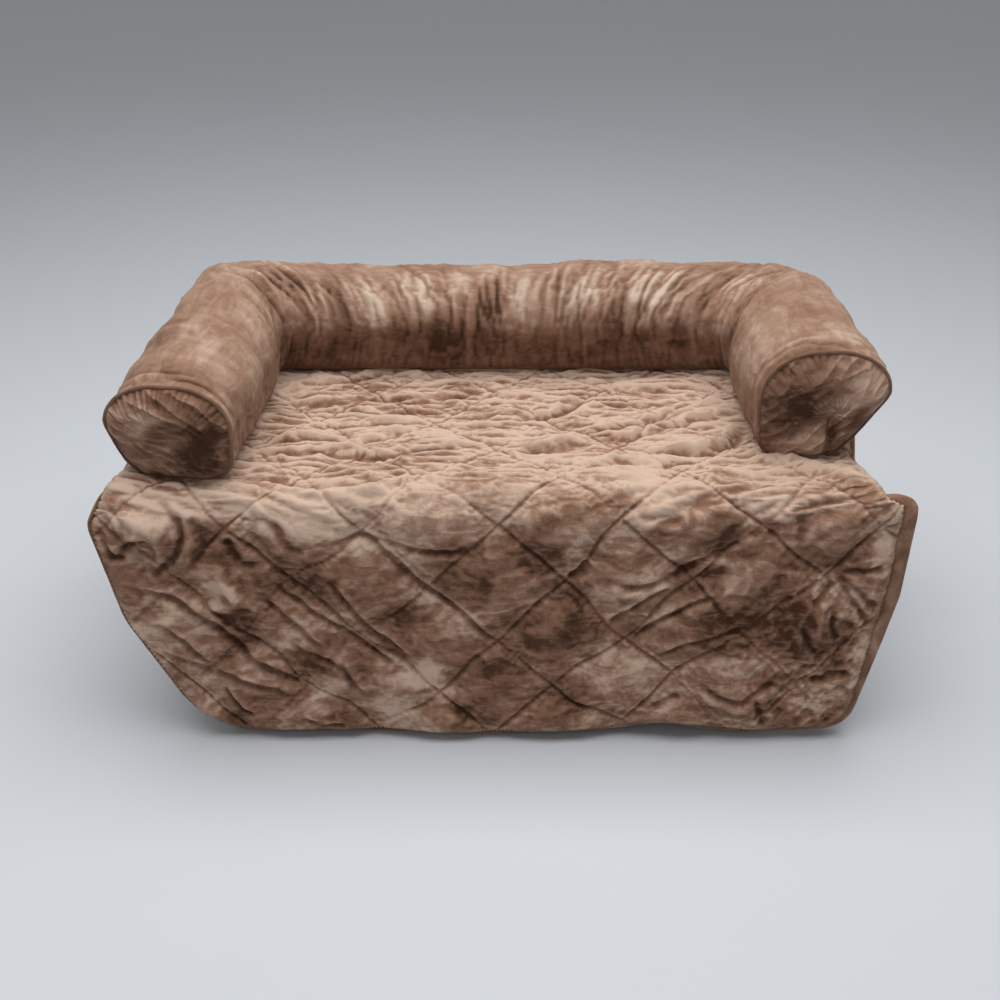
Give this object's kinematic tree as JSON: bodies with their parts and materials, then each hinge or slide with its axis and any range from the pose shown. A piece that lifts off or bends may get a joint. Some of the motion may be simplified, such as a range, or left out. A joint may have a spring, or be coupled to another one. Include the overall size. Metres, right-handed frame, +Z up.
{
  "type": "pet bed",
  "caption": "Three-sided plush pet bed: quilted seat with a front flap hanging to the floor, a stuffed bolster round the back and sides, on a raised foam base.",
  "frame": {"origin": "middle of the base's underside, on the surface that the bed stands on", "axes": "+X to the right as seen from the front, +Y towards the back bolster, +Z up"},
  "size_m": [0.9547, 0.4722, 0.4902],
  "materials": {
    "plush": "matte",
    "plush_cap": "matte",
    "plush_base": "matte",
    "edge_band": "matte",
    "piping": "matte",
    "backing": "matte",
    "grip_cloth": "matte",
    "wadding": "matte",
    "fibre_fill": "matte",
    "firm_foam": "matte",
    "soft_foam": "matte",
    "zip_tape": "matte",
    "zip_teeth": "satin",
    "zip_metal": "satin"
  },
  "bodies": {
    "base": {"base_foam_core": "firm_foam", "base_comfort_foam": "soft_foam", "base_top_panel": "plush_base", "base_front_panel": "plush_base", "base_rear_panel": "plush_base", "base_left_panel": "plush_base", "base_right_panel": "plush_base", "base_bottom_panel": "grip_cloth", "base_zip_tape": "zip_tape", "base_zip_teeth": "zip_teeth", "base_zip_stops": "zip_metal"},
    "base_slider": {"base_zip_slider": "zip_metal"},
    "base_pull": {"base_zip_pull": "zip_metal"},
    "topper": {"seat_face": "plush", "seat_wadding": "wadding", "seat_backing": "backing", "seat_edge_left": "edge_band", "seat_edge_right": "edge_band", "seat_edge_rear": "edge_band", "fold_face": "plush", "fold_wadding": "wadding", "fold_backing": "backing", "fold_edge_left": "edge_band", "fold_edge_right": "edge_band", "bolster_back_cover": "plush", "bolster_back_fill": "fibre_fill", "left_arm_cover": "plush", "left_arm_fill": "fibre_fill", "left_arm_end_cap": "plush_cap", "left_arm_piping": "piping", "right_arm_cover": "plush", "right_arm_fill": "fibre_fill", "right_arm_end_cap": "plush_cap", "right_arm_piping": "piping", "bolster_zip_tape": "zip_tape", "bolster_zip_teeth": "zip_teeth", "bolster_zip_stops": "zip_metal"},
    "flap": {"flap_face": "plush", "flap_wadding": "wadding", "flap_backing": "backing", "flap_edge_left": "edge_band", "flap_edge_right": "edge_band", "flap_hem": "edge_band"},
    "bolster_slider": {"bolster_zip_slider": "zip_metal"},
    "bolster_pull": {"bolster_zip_pull": "zip_metal"}
  },
  "joints": [
    {"name": "topper_lift", "type": "slide", "parent": "base", "child": "topper", "axis": [0, 0, 1], "range_m": [0, 0.36]},
    {"name": "flap_fold", "type": "hinge", "parent": "topper", "child": "flap", "pos_m": [0, -0.193, 0.305], "axis": [-1, 0, 0], "range_deg": [0, 85], "deforming": ["fold_face", "fold_wadding", "fold_backing", "fold_edge_left", "fold_edge_right"]},
    {"name": "bolster_zip_slide", "type": "slide", "parent": "topper", "child": "bolster_slider", "axis": [-1, 0, 0], "range_m": [0, 0.528]},
    {"name": "bolster_pull_swing", "type": "hinge", "parent": "bolster_slider", "child": "bolster_pull", "pos_m": [0.2642, 0.2321, 0.399], "axis": [1, 0, 0], "range_deg": [0, 170]},
    {"name": "base_zip_slide", "type": "slide", "parent": "base", "child": "base_slider", "axis": [-1, 0, 0], "range_m": [0, 0.668]},
    {"name": "base_pull_swing", "type": "hinge", "parent": "base_slider", "child": "base_pull", "pos_m": [0.3342, 0.2237, 0.062], "axis": [1, 0, 0], "range_deg": [0, 170]}
  ]
}
